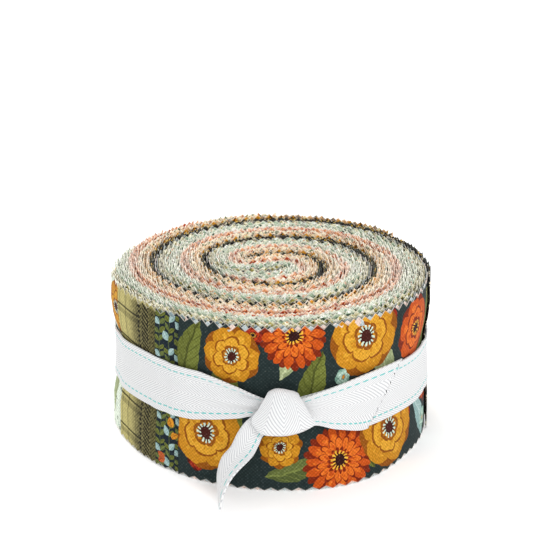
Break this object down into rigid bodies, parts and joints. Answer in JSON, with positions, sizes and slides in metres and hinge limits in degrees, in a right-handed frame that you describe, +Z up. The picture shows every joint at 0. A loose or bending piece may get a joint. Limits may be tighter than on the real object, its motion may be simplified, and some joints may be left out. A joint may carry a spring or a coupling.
{
  "type": "roll of quilting fabric strips",
  "caption": "Roll of precut quilting cotton strips with pinked edges, wound from a folded stack and tied with twill tape in a half knot.",
  "frame": {"origin": "middle of the roll's base, on the surface it stands on", "axes": "+Z up along the roll's axis, -Y towards the knot, +X to the right of someone facing the knot"},
  "size_m": [0.1245, 0.1465, 0.0635],
  "materials": {
    "printed_cotton": "plain weave cotton with printed patterns, matt, pinked along both edges",
    "twill_tape": "white herringbone twill cotton tape with a dashed teal stitch along each edge"
  },
  "bodies": {
    "root": {"roll": "printed_cotton", "tie": "twill_tape"}
  },
  "joints": []
}
